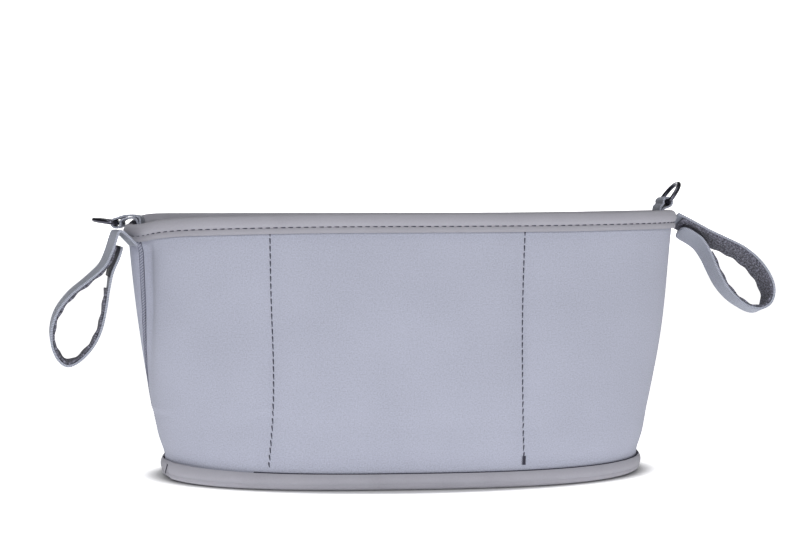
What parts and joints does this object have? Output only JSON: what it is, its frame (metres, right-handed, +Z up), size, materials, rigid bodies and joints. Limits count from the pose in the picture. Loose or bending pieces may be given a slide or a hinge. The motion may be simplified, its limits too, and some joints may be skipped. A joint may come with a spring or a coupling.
{
  "type": "stroller organizer",
  "caption": "Oval neoprene bag that hangs from a stroller's handlebar, with inner dividers, end D-rings and hook and loop straps.",
  "frame": {"origin": "centre of the flat underside of the base, which rests on the table", "axes": "+X along the bag towards the end whose D-ring stands up, +Y to the back, +Z up out of the mouth"},
  "size_m": [0.4503, 0.1202, 0.1832],
  "materials": {
    "neoprene": "soft matte knit face, blue-grey",
    "binding_tape": "matte knitted tape, grey",
    "webbing": "woven twill, blue-grey",
    "loop_tape": "napped, dark grey",
    "hook_tape": "moulded hooks, near black",
    "gunmetal": "dark plated steel, glossy"
  },
  "bodies": {
    "bag": {"front_panel": "neoprene", "back_panel": "neoprene", "base_panel": "neoprene", "rim_binding": "binding_tape", "base_binding": "binding_tape", "divider_left": "neoprene", "divider_right": "neoprene", "divider_binding_left": "binding_tape", "divider_binding_right": "binding_tape", "ring_tab_left": "webbing", "ring_tab_right": "webbing", "strap_left": "webbing", "strap_right": "webbing", "loop_tape_left": "loop_tape", "loop_tape_right": "loop_tape", "hook_tape_left": "hook_tape", "hook_tape_right": "hook_tape"},
    "ring_left": {"ring_left": "gunmetal"},
    "ring_right": {"ring_right": "gunmetal"}
  },
  "joints": [
    {"name": "ring_left_swing", "type": "hinge", "parent": "bag", "child": "ring_left", "pos_m": [-0.1763, 0, 0.15698], "axis": [0, 1, 0], "range_deg": [-70, 110]},
    {"name": "ring_right_swing", "type": "hinge", "parent": "bag", "child": "ring_right", "pos_m": [0.167, 0, 0.1698], "axis": [0, 1, 0], "range_deg": [-110, 80]}
  ]
}
